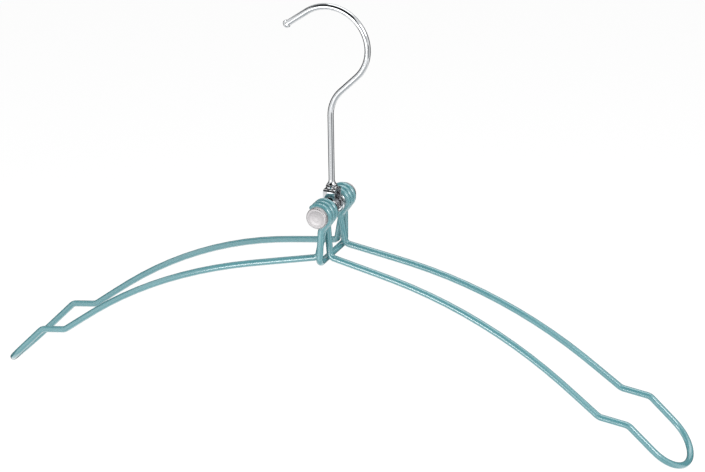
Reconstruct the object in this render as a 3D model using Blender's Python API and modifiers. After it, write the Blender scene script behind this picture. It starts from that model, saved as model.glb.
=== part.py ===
"""Folding clothes hanger of coated wire, with a chromed swivel hook.

Three bent wires hang on one pivot pin under the hook. The left and right arms are hairpin
loops whose ends close round the pin, and the stop stirrup is a U that hangs between them.
The tips' load presses the risers of both arms against the stirrup's crossbar, which holds
the hanger open. With the load off, each arm folds up beside the hook.

Metres, +Z up. The origin is the hook's seat, where the hanger hangs on its rod. The arms lie
along X and the pivot pin along Y.
"""
import math
from collections import namedtuple

import bmesh
import bpy
from mathutils import Matrix, Vector

# Clearance between pieces that touch, and overrun of every cut.
FIT_GAP = 0.0003
CUT_OVERRUN = 0.002
MERGE_DISTANCE = 0.000003

# Bends of the shading stay smooth up to this angle.
CREASE_ANGLE = math.radians(40.0)

# Coated wire of the arms and the stop stirrup.
WIRE_RADIUS = 0.00185
WIRE_BEVEL_RESOLUTION = 2
BEND_STEP = math.radians(15.0)

# Hook of plated wire.
HOOK_WIRE_RADIUS = 0.0017
HOOK_BEVEL_RESOLUTION = 3
HOOK_INNER_RADIUS = 0.0208
HOOK_LOOP_HEIGHT = 0.0929
HOOK_LEAN_IN_ANGLE = math.radians(-45.7)
HOOK_OPEN_ANGLE = math.radians(125.2)
HOOK_NECK_BEND_RADIUS = 0.0210
HOOK_END_LENGTH = 0.0138
HOOK_LOOP_STEP = math.radians(9.0)
HOOK_BUTTON_RADIUS = 0.0022
HOOK_BUTTON_LENGTH = 0.0022
HOOK_BUTTON_NECK = 0.0004

# Collar and riveted head of the hook, which trap it in the bracket.
COLLAR_RADIUS = 0.0028
COLLAR_RIM_HEIGHT = 0.0007
COLLAR_HEIGHT = 0.0032
HEAD_RADIUS = 0.0022
HEAD_HEIGHT = 0.0015
STEP_RUN = 0.0001
UPPER_WASHER_RADIUS = 0.0033
UPPER_WASHER_THICKNESS = 0.0012
LOWER_WASHER_RADIUS = 0.0030
LOWER_WASHER_THICKNESS = 0.0007

# Bracket, an inverted U of plated strip.
STRIP_WIDTH = 0.0070
STRIP_THICKNESS = 0.0010
BRACKET_HALF_DEPTH = 0.0048
BRACKET_TOP = 0.0102
BRACKET_BEND_RADIUS = 0.0016
EAR_RADIUS = 0.0057
EAR_FILLET_RADIUS = 0.0020
ARC_STEPS = 8

# Pivot pin, its end caps, and the spacers between the bracket and the eyes.
PIN_RADIUS = 0.0035
PIN_CLEARANCE = 0.00035
SPIGOT_RADIUS = 0.0020
SPIGOT_LENGTH = 0.0014
CAP_RADIUS = 0.0061
CAP_LENGTH = 0.0026
CAP_RIM_RADIUS = 0.0008
SPACER_RADIUS = 0.0058
FRONT_SPACER_THICKNESS = 0.0027
REAR_SPACER_THICKNESS = 0.0007
TURNED_STEPS = 32

# Eyes and necks of the three bent wires. The right arm's eyes are closed, the others open.
EYE_NECK_ANGLE = math.radians(-35.0)
CLOSED_EYE_END_ANGLE = math.radians(245.0)
CLOSED_EYE_NECK_LENGTH = 0.0058
OPEN_EYE_END_ANGLE = math.radians(138.0)
OPEN_EYE_NECK_LENGTH = 0.0068
NECK_BEND_RADIUS = 0.0040

# Both arms: the side profile, measured from the pin, and the widths seen from above.
FOOT_OFFSET = 0.0034
FOOT_DROP = 0.0263
FOOT_BEND_RADIUS = 0.0034
RAIL_SLOPE_START = math.radians(11.2)
RAIL_SLOPE_END = math.radians(36.8)
RAIL_STRAIGHT = 0.0345
RAIL_ARC_RADIUS = 0.266
RAIL_ARC_STEPS = 11
RAIL_LOWER_STRAIGHT = 0.0225
NOTCH_SLOPE = math.radians(8.4)
NOTCH_BEND_RADIUS = 0.006
TIP_LOOP_DEPTH = 0.0192
TIP_LOOP_STEPS = 8
NOTCH_HALF_WIDTH = 0.0198
TIP_HALF_WIDTH = 0.0196
ARM_SWEEP_ANGLE = math.radians(1.1)

# What differs between the arms, each bent by itself.
RIGHT_LEG_SPLAY = 0.0019
RIGHT_NOTCH_LENGTH = 0.0168
RIGHT_TIP_SLOPE = math.radians(42.6)
RIGHT_TIP_STRAIGHT = 0.0194
LEFT_LEG_SPLAY = 0.0008
LEFT_FOOT_REACH = 0.0007
LEFT_RAIL_SWELL = 0.0046
LEFT_NOTCH_LENGTH = 0.0153
LEFT_TIP_SLOPE = math.radians(45.5)
LEFT_TIP_STRAIGHT = 0.0207

# Stop stirrup.
CROSSBAR_DROP = 0.0283
CROSSBAR_SKEW = 0.0002
STOP_LEG_SPLAY = 0.0009
CROSSBAR_BEND_RADIUS = 0.0030

# Colours of the finishes.
COATING_COLOR = (0.165, 0.415, 0.430, 1.0)
CHROME_COLOR = (0.62, 0.62, 0.64, 1.0)
CAP_COLOR = (0.70, 0.69, 0.70, 1.0)
STEEL_COLOR = (0.45, 0.45, 0.46, 1.0)

# Places that follow from the sizes above. The bracket stands nearer to the rear eyes, so the
# middle of all that is stacked on the pin lies at STACK_Y, and the eyes are counted from there.
PIN_Z = -(HOOK_LOOP_HEIGHT + HOOK_INNER_RADIUS)
EYE_RADIUS = PIN_RADIUS + PIN_CLEARANCE + WIRE_RADIUS
EYE_PITCH = 2 * WIRE_RADIUS + FIT_GAP
SPACER_Y = BRACKET_HALF_DEPTH + FIT_GAP
STACK_Y = (REAR_SPACER_THICKNESS - FRONT_SPACER_THICKNESS) / 2
MEAN_SPACER = (REAR_SPACER_THICKNESS + FRONT_SPACER_THICKNESS) / 2
RIGHT_EYE_Y = SPACER_Y + MEAN_SPACER + FIT_GAP + WIRE_RADIUS
LEFT_EYE_Y = RIGHT_EYE_Y + EYE_PITCH
STOP_EYE_Y = LEFT_EYE_Y + EYE_PITCH
CAP_INNER_Y = STOP_EYE_Y + WIRE_RADIUS + FIT_GAP
BRACKET_INNER_BEND = BRACKET_BEND_RADIUS - STRIP_THICKNESS
HOLE_RADIUS = PIN_RADIUS + FIT_GAP
SHANK_HOLE_RADIUS = HOOK_WIRE_RADIUS + FIT_GAP

# Where an eye's wire ends and how long its neck is. Every neck leaves its eye at the right.
Eye = namedtuple("Eye", "end_angle neck_length")
CLOSED_EYE = Eye(CLOSED_EYE_END_ANGLE, CLOSED_EYE_NECK_LENGTH)
OPEN_EYE = Eye(OPEN_EYE_END_ANGLE, OPEN_EYE_NECK_LENGTH)

# Side of the hook that an arm points to, its eyes and legs, and its own bends.
Arm = namedtuple("Arm", "side eye eye_y splay foot_reach swell notch_length tip_slope "
                        "tip_straight")
RIGHT_ARM = Arm(1, CLOSED_EYE, RIGHT_EYE_Y, RIGHT_LEG_SPLAY, 0, 0, RIGHT_NOTCH_LENGTH,
                RIGHT_TIP_SLOPE, RIGHT_TIP_STRAIGHT)
LEFT_ARM = Arm(-1, OPEN_EYE, LEFT_EYE_Y, LEFT_LEG_SPLAY, LEFT_FOOT_REACH, LEFT_RAIL_SWELL,
               LEFT_NOTCH_LENGTH, LEFT_TIP_SLOPE, LEFT_TIP_STRAIGHT)


def clear_scene():
    """Remove every object that the file opened with."""
    for obj in list(bpy.data.objects):
        bpy.data.objects.remove(obj, do_unlink=True)


def new_collection(name):
    """Add a collection to the scene and return it."""
    collection = bpy.data.collections.new(name)
    bpy.context.scene.collection.children.link(collection)
    return collection


def finish(name, color, metallic, roughness):
    """Return a plain material of one colour."""
    material = bpy.data.materials.new(name)
    material.use_nodes = True
    shader = material.node_tree.nodes["Principled BSDF"]
    shader.inputs["Base Color"].default_value = color
    shader.inputs["Metallic"].default_value = metallic
    shader.inputs["Roughness"].default_value = roughness
    material.diffuse_color = color
    return material


def arc(center, radius, start, end, steps):
    """Points of an arc in a plane, from one angle to another, both ends included."""
    angles = [start + (end - start) * i / steps for i in range(steps + 1)]
    return [(center[0] + radius * math.cos(a), center[1] + radius * math.sin(a)) for a in angles]


def round_corners(corners):
    """Round the corners of a route through space.

    Each corner is a point and the radius of its bend. A corner of radius zero stays as it is.
    """
    points = [Vector(corners[0][0])]
    for (before, _), (corner, radius), (after, _) in zip(corners, corners[1:], corners[2:]):
        corner = Vector(corner)
        to_before = (Vector(before) - corner).normalized()
        to_after = (Vector(after) - corner).normalized()
        turn = math.pi - to_before.angle(to_after)
        if radius == 0 or turn == 0:
            points.append(corner)
            continue
        reach = radius * math.tan(turn / 2)
        center = corner + (to_before + to_after).normalized() * radius / math.cos(turn / 2)
        spoke = corner + to_before * reach - center
        axis = spoke.cross(corner + to_after * reach - center)
        steps = max(1, math.ceil(turn / BEND_STEP))
        for i in range(steps + 1):
            points.append(center + Matrix.Rotation(turn * i / steps, 3, axis) @ spoke)
    points.append(Vector(corners[-1][0]))
    return points


def mesh_from_curve(name, curve, collection):
    """Turn a curve into a closed mesh object in the given collection, and remove the curve."""
    source = bpy.data.objects.new(name + "_curve", curve)
    bpy.context.scene.collection.objects.link(source)
    bpy.context.view_layer.update()
    evaluated = source.evaluated_get(bpy.context.evaluated_depsgraph_get())
    mesh = bpy.data.meshes.new_from_object(evaluated)
    bpy.data.objects.remove(source, do_unlink=True)
    bpy.data.curves.remove(curve)
    solid = bmesh.new()
    solid.from_mesh(mesh)
    bmesh.ops.remove_doubles(solid, verts=solid.verts, dist=MERGE_DISTANCE)
    bmesh.ops.recalc_face_normals(solid, faces=solid.faces)
    solid.to_mesh(mesh)
    solid.free()
    mesh.name = name
    obj = bpy.data.objects.new(name, mesh)
    collection.objects.link(obj)
    return obj


def wire_curve(name, points, radius, resolution, shares=None):
    """A round wire along the points. The shares, if given, scale its radius at each point."""
    curve = bpy.data.curves.new(name, "CURVE")
    curve.dimensions = "3D"
    curve.bevel_depth = radius
    curve.bevel_resolution = resolution
    curve.use_fill_caps = True
    spline = curve.splines.new("POLY")
    spline.points.add(len(points) - 1)
    for index, (target, point) in enumerate(zip(spline.points, points)):
        target.co = (*point, 1.0)
        target.radius = shares[index] if shares else 1.0
    return curve


def prism(name, outline, half_length, collection):
    """Extrude a flat outline to both sides of its own XY plane."""
    curve = bpy.data.curves.new(name, "CURVE")
    curve.dimensions = "2D"
    curve.fill_mode = "BOTH"
    curve.extrude = half_length
    spline = curve.splines.new("POLY")
    spline.points.add(len(outline) - 1)
    for target, point in zip(spline.points, outline):
        target.co = (*point, 0.0, 1.0)
    spline.use_cyclic_u = True
    return mesh_from_curve(name, curve, collection)


def turned(name, profile, collection):
    """Turn a closed profile of radius and height about Z, top to bottom down its outer side."""
    outline = bmesh.new()
    corners = [outline.verts.new((radius, 0, height)) for radius, height in profile]
    for first, second in zip(corners, corners[1:]):
        outline.edges.new((first, second))
    if profile[0][0] > 0:
        outline.edges.new((corners[-1], corners[0]))
    mesh = bpy.data.meshes.new(name)
    outline.to_mesh(mesh)
    outline.free()
    obj = bpy.data.objects.new(name, mesh)
    collection.objects.link(obj)
    screw = obj.modifiers.new("Turn", "SCREW")
    screw.steps = TURNED_STEPS
    screw.render_steps = TURNED_STEPS
    screw.use_merge_vertices = True
    screw.merge_threshold = MERGE_DISTANCE
    return obj


def cut(obj, cutter, operation):
    """Apply a cutter to an object, then leave the cutter as a hidden guide."""
    modifier = obj.modifiers.new(cutter.name, "BOOLEAN")
    modifier.operation = operation
    modifier.solver = "EXACT"
    modifier.object = cutter
    cutter.hide_render = True
    cutter.display_type = "WIRE"


def dress(obj, material):
    """Give an object its material and smooth shading with crisp edges."""
    obj.data.materials.clear()
    obj.data.materials.append(material)
    obj.data.shade_smooth()
    obj.data.set_sharp_from_angle(angle=CREASE_ANGLE)
    return obj


def eye_and_neck(eye, eye_y):
    """Corners of a wire's end: the eye round the pin, then the neck down to its leg.

    The eye is wound at eye_y from the stack's middle, over the pin from its end to its neck.
    """
    steps = math.ceil((eye.end_angle - EYE_NECK_ANGLE) / BEND_STEP)
    ring = arc((0, PIN_Z), EYE_RADIUS, eye.end_angle, EYE_NECK_ANGLE, steps)
    corners = [((x, STACK_Y + eye_y, z), 0) for x, z in ring]
    leave_x, leave_z = ring[-1]
    neck_x = leave_x + eye.neck_length * math.sin(EYE_NECK_ANGLE)
    neck_z = leave_z - eye.neck_length * math.cos(EYE_NECK_ANGLE)
    corners.append(((neck_x, STACK_Y + eye_y, neck_z), NECK_BEND_RADIUS))
    return corners


def arm_profile(arm):
    """Corners of an arm seen from the front: distance from the pin's axis, height, bend.

    The foot lies on the line of the rail, its reach nearer to the pin's axis.
    """
    x, z = FOOT_OFFSET, PIN_Z - FOOT_DROP
    corners = [(x - arm.foot_reach * math.cos(RAIL_SLOPE_START),
                z + arm.foot_reach * math.sin(RAIL_SLOPE_START), FOOT_BEND_RADIUS)]
    x += RAIL_STRAIGHT * math.cos(RAIL_SLOPE_START)
    z -= RAIL_STRAIGHT * math.sin(RAIL_SLOPE_START)
    center = (x - RAIL_ARC_RADIUS * math.sin(RAIL_SLOPE_START),
              z - RAIL_ARC_RADIUS * math.cos(RAIL_SLOPE_START))
    quarter = math.pi / 2
    bend = arc(center, RAIL_ARC_RADIUS, quarter - RAIL_SLOPE_START,
               quarter - RAIL_SLOPE_END, RAIL_ARC_STEPS)
    corners += [(bend_x, bend_z, 0) for bend_x, bend_z in bend]
    x, z = bend[-1]
    for length, slope in ((RAIL_LOWER_STRAIGHT, RAIL_SLOPE_END), (arm.notch_length, NOTCH_SLOPE)):
        x += length * math.cos(slope)
        z -= length * math.sin(slope)
        corners.append((x, z, NOTCH_BEND_RADIUS))
    return corners


def arm_points(arm):
    """Centre line of an arm, from its front eye round the tip to its rear eye.

    From above, its rails spread from the feet to the notches, swell between them, and sweep
    to the rear.
    """
    profile = arm_profile(arm)
    foot_x, notch_x = profile[0][0], profile[-2][0]
    foot_y = arm.eye_y + arm.splay

    def half_width(x):
        """Half the width between the rails at a distance from the pin's axis."""
        share = min(1, (x - foot_x) / (notch_x - foot_x))
        swell = arm.swell * 4 * share * (1 - share)
        return foot_y + (NOTCH_HALF_WIDTH - foot_y) * share + swell

    half = [((x, half_width(x), z), bend) for x, z, bend in profile]
    tip_x, tip_z, _ = profile[-1]
    for i in range(TIP_LOOP_STEPS + 1):
        angle = math.pi / 2 * i / TIP_LOOP_STEPS
        along = arm.tip_straight + TIP_LOOP_DEPTH * math.sin(angle)
        half.append(((tip_x + along * math.cos(arm.tip_slope), TIP_HALF_WIDTH * math.cos(angle),
                      tip_z - along * math.sin(arm.tip_slope)), 0))

    def rail(face):
        """Corners of the front rail, face -1, or the rear rail, face 1, from foot to tip."""
        sweep = math.tan(ARM_SWEEP_ANGLE)
        return [((arm.side * x, STACK_Y + face * y + (x - foot_x) * sweep, z), bend)
                for (x, y, z), bend in half]

    front = eye_and_neck(arm.eye, -arm.eye_y) + rail(-1)
    rear = eye_and_neck(arm.eye, arm.eye_y) + rail(1)
    return round_corners(front + rear[-2::-1])


def stirrup_points():
    """Centre line of the stop stirrup, from its front eye under the arms to its rear eye."""

    def leg(face):
        """Corners of the front leg, face -1, or the rear leg, face 1, from its eye down."""
        foot = (face * CROSSBAR_SKEW, STACK_Y + face * (STOP_EYE_Y + STOP_LEG_SPLAY),
                PIN_Z - CROSSBAR_DROP)
        return eye_and_neck(OPEN_EYE, face * STOP_EYE_Y) + [(foot, CROSSBAR_BEND_RADIUS)]

    return round_corners(leg(-1) + leg(1)[::-1])


def hook_points():
    """Centre line of the hook from its riveted head to its button, with the radius at each."""
    loop_radius = HOOK_INNER_RADIUS + HOOK_WIRE_RADIUS
    loop_z = -HOOK_INNER_RADIUS
    steps = math.ceil((HOOK_OPEN_ANGLE - HOOK_LEAN_IN_ANGLE) / HOOK_LOOP_STEP)
    loop = arc((0, loop_z), loop_radius, HOOK_LEAN_IN_ANGLE, HOOK_OPEN_ANGLE, steps)
    start_x, start_z = loop[0]
    lean = start_x / math.tan(-HOOK_LEAN_IN_ANGLE)
    knee_z = start_z - lean

    head_top = PIN_Z + BRACKET_TOP - STRIP_THICKNESS - LOWER_WASHER_THICKNESS - 2 * FIT_GAP
    collar_z = PIN_Z + BRACKET_TOP + UPPER_WASHER_THICKNESS + 2 * FIT_GAP
    stations = [(head_top - HEAD_HEIGHT, HEAD_RADIUS / 2)]
    stations += [(head_top - HEAD_HEIGHT / 2, HEAD_RADIUS), (head_top - STEP_RUN, HEAD_RADIUS)]
    stations += [(head_top, HOOK_WIRE_RADIUS), (collar_z, HOOK_WIRE_RADIUS)]
    stations += [(collar_z + STEP_RUN, COLLAR_RADIUS)]
    stations += [(collar_z + COLLAR_RIM_HEIGHT, COLLAR_RADIUS)]
    shank = [((0, 0, z), 0) for z, _ in stations]
    radii = [radius for _, radius in stations]
    flare = COLLAR_HEIGHT - COLLAR_RIM_HEIGHT
    for i in range(1, ARC_STEPS + 1):
        share = i / ARC_STEPS
        z = collar_z + COLLAR_RIM_HEIGHT + flare * share
        shank.append(((0, 0, z), 0))
        radii.append(HOOK_WIRE_RADIUS + (COLLAR_RADIUS - HOOK_WIRE_RADIUS) * (1 - share) ** 2)
    bend = round_corners([shank[-1], ((0, 0, knee_z), HOOK_NECK_BEND_RADIUS),
                          ((start_x, 0, start_z), 0)])
    points = [Vector(point) for point, _ in shank] + bend[1:-1]
    points += [Vector((x, 0, z)) for x, z in loop]
    radii += [HOOK_WIRE_RADIUS] * (len(points) - len(radii))

    heading = Vector((-math.sin(HOOK_OPEN_ANGLE), 0, math.cos(HOOK_OPEN_ANGLE)))
    neck = points[-1] + heading * HOOK_END_LENGTH
    button = neck + heading * (HOOK_BUTTON_NECK + HOOK_BUTTON_LENGTH / 2)
    points += [neck, neck + heading * HOOK_BUTTON_NECK]
    radii += [HOOK_WIRE_RADIUS, HOOK_BUTTON_RADIUS]
    for i in range(1, ARC_STEPS // 2 + 1):
        angle = math.pi / 2 * i / (ARC_STEPS // 2 + 1)
        points.append(button + heading * HOOK_BUTTON_LENGTH / 2 * math.sin(angle))
        radii.append(HOOK_BUTTON_RADIUS * math.cos(angle))
    return points, radii


def build_hook(collection, material):
    """The hook, one wire from its riveted head under the bracket to its button."""
    points, radii = hook_points()
    shares = [radius / HOOK_WIRE_RADIUS for radius in radii]
    curve = wire_curve("hook", points, HOOK_WIRE_RADIUS, HOOK_BEVEL_RESOLUTION, shares)
    return dress(mesh_from_curve("hook", curve, collection), material)


def build_wire(name, points, collection, material):
    """A bent wire with its coating."""
    curve = wire_curve(name, points, WIRE_RADIUS, WIRE_BEVEL_RESOLUTION)
    return dress(mesh_from_curve(name, curve, collection), material)


def build_washer(name, top, thickness, radius, collection, material):
    """A flat washer on the hook's shank, with its upper face at the given height."""
    profile = [(SHANK_HOLE_RADIUS, 0), (radius, 0), (radius, -thickness),
               (SHANK_HOLE_RADIUS, -thickness)]
    washer = turned(name, profile, collection)
    washer.location.z = top
    return dress(washer, material)


def bracket_section():
    """Outline of the bracket's bent strip in Y and Z, from the pin's axis."""
    bend_y = BRACKET_HALF_DEPTH - BRACKET_BEND_RADIUS
    bend_z = BRACKET_TOP - BRACKET_BEND_RADIUS
    low = -EAR_RADIUS - CUT_OVERRUN
    outer = [(BRACKET_HALF_DEPTH, low)]
    outer += arc((bend_y, bend_z), BRACKET_BEND_RADIUS, 0, math.pi / 2, ARC_STEPS)
    inner = [(BRACKET_HALF_DEPTH - STRIP_THICKNESS, low)]
    inner += arc((bend_y, bend_z), BRACKET_INNER_BEND, 0, math.pi / 2, ARC_STEPS)
    outer += [(-y, z) for y, z in reversed(outer)]
    inner += [(-y, z) for y, z in reversed(inner)]
    return outer + inner[::-1]


def bracket_front():
    """Outline of the bracket seen from the front: the strip's width and its round ears."""
    half = STRIP_WIDTH / 2
    fillet_x = half + EAR_FILLET_RADIUS
    fillet_z = math.sqrt((EAR_RADIUS + EAR_FILLET_RADIUS) ** 2 - fillet_x ** 2)
    meet = math.atan2(fillet_z, fillet_x)
    right = [(half, BRACKET_TOP + CUT_OVERRUN)]
    right += arc((fillet_x, fillet_z), EAR_FILLET_RADIUS, math.pi, math.pi + meet, ARC_STEPS // 2)
    right += arc((0, 0), EAR_RADIUS, meet, -math.pi / 2, 2 * ARC_STEPS)[1:]
    return right + [(-x, z) for x, z in reversed(right[:-1])]


def build_bracket(collection, cutters, material):
    """The bracket: a bent strip, trimmed to its ears, with holes for the pin and the shank."""
    bracket = prism("bracket", bracket_section(), EAR_RADIUS + CUT_OVERRUN, collection)
    bracket.matrix_world = Matrix.Translation((0, 0, PIN_Z)) @ along_x()
    trim = prism("bracket_trim", bracket_front(), BRACKET_HALF_DEPTH + CUT_OVERRUN, cutters)
    trim.matrix_world = Matrix.Translation((0, 0, PIN_Z)) @ Matrix.Rotation(math.pi / 2, 4, "X")
    cut(bracket, trim, "INTERSECT")
    holes = (("pin_hole", HOLE_RADIUS, 2 * (BRACKET_HALF_DEPTH + CUT_OVERRUN), PIN_Z,
              math.pi / 2),
             ("shank_hole", SHANK_HOLE_RADIUS, 2 * (STRIP_THICKNESS + CUT_OVERRUN),
              PIN_Z + BRACKET_TOP, 0))
    for name, radius, depth, z, tilt in holes:
        bpy.ops.mesh.primitive_cylinder_add(vertices=TURNED_STEPS, radius=radius, depth=depth,
                                            location=(0, 0, z), rotation=(tilt, 0, 0))
        hole = bpy.context.object
        hole.name = name
        for owner in list(hole.users_collection):
            owner.objects.unlink(hole)
        cutters.objects.link(hole)
        cut(bracket, hole, "DIFFERENCE")
    return dress(bracket, material)


def along_x():
    """Turn that carries local X, Y and Z to world Y, Z and X."""
    return Matrix(((0, 0, 1, 0), (1, 0, 0, 0), (0, 1, 0, 0), (0, 0, 0, 1)))


def build_pin(collection, material):
    """The pivot pin, a shaft with a spigot at each end for its cap."""
    shaft = CAP_INNER_Y - FIT_GAP
    end = shaft + SPIGOT_LENGTH
    profile = [(0, end), (SPIGOT_RADIUS, end), (SPIGOT_RADIUS, shaft), (PIN_RADIUS, shaft),
               (PIN_RADIUS, -shaft), (SPIGOT_RADIUS, -shaft), (SPIGOT_RADIUS, -end), (0, -end)]
    pin = turned("pivot_pin", profile, collection)
    level = Matrix.Rotation(-math.pi / 2, 4, "X")
    pin.matrix_world = Matrix.Translation((0, STACK_Y, PIN_Z)) @ level
    return dress(pin, material)


def build_cap(name, side, collection, material):
    """An end cap pressed on the pin's spigot, its flat face outward."""
    rim = CAP_RADIUS - CAP_RIM_RADIUS
    bore = SPIGOT_RADIUS + FIT_GAP
    bore_depth = SPIGOT_LENGTH + FIT_GAP
    edge = arc((rim, CAP_LENGTH - CAP_RIM_RADIUS), CAP_RIM_RADIUS, math.pi / 2, 0, ARC_STEPS // 2)
    profile = [(0, CAP_LENGTH), *edge, (CAP_RADIUS, 0), (bore, 0), (bore, bore_depth),
               (0, bore_depth)]
    cap = turned(name, profile, collection)
    outward = Matrix.Rotation(-side * math.pi / 2, 4, "X")
    cap.matrix_world = Matrix.Translation((0, STACK_Y + side * CAP_INNER_Y, PIN_Z)) @ outward
    return dress(cap, material)


def build_spacer(name, side, thickness, collection, material):
    """A round spacer on the pin, between an ear of the bracket and the nearest eye."""
    profile = [(HOLE_RADIUS, thickness), (SPACER_RADIUS, thickness), (SPACER_RADIUS, 0),
               (HOLE_RADIUS, 0)]
    spacer = turned(name, profile, collection)
    outward = Matrix.Rotation(-side * math.pi / 2, 4, "X")
    spacer.matrix_world = Matrix.Translation((0, side * SPACER_Y, PIN_Z)) @ outward
    return dress(spacer, material)


def hinge_empty(name, collection, children):
    """An empty on the pin's axis that carries what turns about it."""
    empty = bpy.data.objects.new(name, None)
    empty.location = (0, 0, PIN_Z)
    empty.empty_display_size = EAR_RADIUS
    collection.objects.link(empty)
    bpy.context.view_layer.update()
    for child in children:
        place = child.matrix_world.copy()
        child.parent = empty
        child.matrix_parent_inverse = empty.matrix_world.inverted()
        child.matrix_world = place
    return empty


def main():
    """Build the hanger."""
    clear_scene()
    collection = new_collection("folding_clothes_hanger")
    cutters = new_collection("hanger_cutters")
    coating = finish("teal_coating", COATING_COLOR, 0.0, 0.32)
    chrome = finish("chrome_plate", CHROME_COLOR, 1.0, 0.08)
    satin = finish("satin_cap", CAP_COLOR, 1.0, 0.35)
    steel = finish("zinc_steel", STEEL_COLOR, 1.0, 0.30)

    build_hook(collection, chrome)
    plate_top = PIN_Z + BRACKET_TOP
    build_washer("upper_washer", plate_top + FIT_GAP + UPPER_WASHER_THICKNESS,
                 UPPER_WASHER_THICKNESS, UPPER_WASHER_RADIUS, collection, chrome)
    build_washer("lower_washer", plate_top - STRIP_THICKNESS - FIT_GAP,
                 LOWER_WASHER_THICKNESS, LOWER_WASHER_RADIUS, collection, steel)
    build_bracket(collection, cutters, chrome)
    build_pin(collection, steel)
    build_cap("front_cap", -1, collection, satin)
    build_cap("rear_cap", 1, collection, satin)
    build_spacer("front_spacer", -1, FRONT_SPACER_THICKNESS, collection, chrome)
    build_spacer("rear_spacer", 1, REAR_SPACER_THICKNESS, collection, chrome)

    stirrup = build_wire("stop_stirrup", stirrup_points(), collection, coating)
    left = build_wire("left_arm", arm_points(LEFT_ARM), collection, coating)
    right = build_wire("right_arm", arm_points(RIGHT_ARM), collection, coating)
    hinge_empty("stirrup_pivot", collection, [stirrup])
    hinge_empty("left_arm_pivot", collection, [left])
    hinge_empty("right_arm_pivot", collection, [right])


main()
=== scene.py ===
"""Dressing of a folding clothes hanger: coated wire arms, a chromed swivel hook and its pivot.

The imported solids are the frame. Each one is replaced by the same piece drawn finely, in the
frame's own metres: the origin is the hook's seat, the arms lie along X, the pivot pin along Y.
"""
from __future__ import annotations

import logging
from dataclasses import dataclass
from enum import Enum
from functools import cache
from math import atan2, ceil, cos, pi, radians, sin, sqrt, tan
from typing import Any

import bpy
from bpy.types import Material, Node, NodeSocket, NodeTree, Object
from mathutils import Matrix, Vector

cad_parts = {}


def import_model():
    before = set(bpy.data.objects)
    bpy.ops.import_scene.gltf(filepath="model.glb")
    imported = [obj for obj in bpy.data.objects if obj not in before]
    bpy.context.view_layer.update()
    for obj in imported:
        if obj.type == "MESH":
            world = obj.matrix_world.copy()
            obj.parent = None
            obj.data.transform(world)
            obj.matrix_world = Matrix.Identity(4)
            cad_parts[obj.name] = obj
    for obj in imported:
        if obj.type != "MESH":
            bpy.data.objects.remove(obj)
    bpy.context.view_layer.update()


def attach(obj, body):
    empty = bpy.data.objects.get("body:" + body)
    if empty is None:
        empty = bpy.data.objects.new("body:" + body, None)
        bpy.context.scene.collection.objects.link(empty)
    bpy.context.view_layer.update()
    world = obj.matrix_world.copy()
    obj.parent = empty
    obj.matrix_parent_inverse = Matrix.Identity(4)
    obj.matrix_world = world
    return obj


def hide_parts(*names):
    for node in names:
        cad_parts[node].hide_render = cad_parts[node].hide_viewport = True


LOG = logging.getLogger("hanger")

MM = 0.001
# Height of the pivot pin's axis
PIN_HEIGHT = -113.7 * MM
AXIS_X = Vector((1, 0, 0))
AXIS_Y = Vector((0, 1, 0))
AXIS_Z = Vector((0, 0, 1))
# Faces that meet at more than this angle keep a sharp edge between them
CREASE = radians(32)
# Points nearer to each other than this are one point
MERGE = 0.002 * MM
# A wave texture runs through this many radians in one unit at scale 1
WAVE_RADIANS = 20.0
WHITE = "#FFFFFF"
# Points of a flat shape, or the radius and depth of each ring of a turned one
Profile = list[tuple[float, float]]
# Degrees to the right of the camera, degrees over the horizon and metres from the pin
Direction = tuple[float, float, float]


class Slot(Enum):
    """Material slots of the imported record."""

    COATING = "teal_coating"
    CHROME = "chrome_plate"
    CAP = "satin_cap"
    STEEL = "zinc_steel"


class Side(Enum):
    """Side of the hook that an arm points to, as a sign in X."""

    RIGHT = 1
    LEFT = -1


class Face(Enum):
    """Front or rear of the hanger, as a sign in Y."""

    FRONT = -1
    REAR = 1


# Tools for materials


def linear(hex_color: str) -> tuple[float, float, float, float]:
    """Turn an sRGB hex colour into linear values.

    Args:
        hex_color: The colour as #RRGGBB.

    Returns:
        Red, green, blue and alpha for a shader's socket.
    """
    levels = [int(hex_color[i:i + 2], 16) / 255 for i in (1, 3, 5)]
    red, green, blue = (v / 12.92 if v <= 0.04045 else ((v + 0.055) / 1.055) ** 2.4
                        for v in levels)
    return red, green, blue, 1.0


def add_node(tree: NodeTree, kind: str, settings: dict[str, Any] | None = None,
             values: dict[Any, Any] | None = None,
             links: dict[Any, NodeSocket] | None = None) -> Node:
    """Add one node with its settings, socket values and incoming links.

    Args:
        tree: The node tree that gets the node.
        kind: The node's type name.
        settings: Properties of the node.
        values: Input sockets' constants, by name or number.
        links: What feeds each input socket, by name or number.

    Returns:
        The new node.
    """
    node = tree.nodes.new(kind)
    for key, value in (settings or {}).items():
        setattr(node, key, value)
    for key, value in (values or {}).items():
        node.inputs[key].default_value = value
    for key, source in (links or {}).items():
        tree.links.new(source, node.inputs[key])
    return node


def per_mm(size: float) -> float:
    """Texture scale that gives features of a size in millimetres."""
    return 1 / (size * MM)


def new_material(name: str) -> tuple[Material, NodeTree]:
    """Make a material with nodes, and give its tree too."""
    material = bpy.data.materials.new(name)
    material.use_nodes = True
    return material, material.node_tree


def noise(tree: NodeTree, place: NodeSocket, size: float, detail: float,
          roughness: float = 0.5) -> NodeSocket:
    """A noise pattern, about 0 to 1, with patches of a size in millimetres."""
    return add_node(tree, "ShaderNodeTexNoise", values={
        "Scale": per_mm(size), "Detail": detail, "Roughness": roughness},
        links={"Vector": place}).outputs["Fac"]


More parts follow.
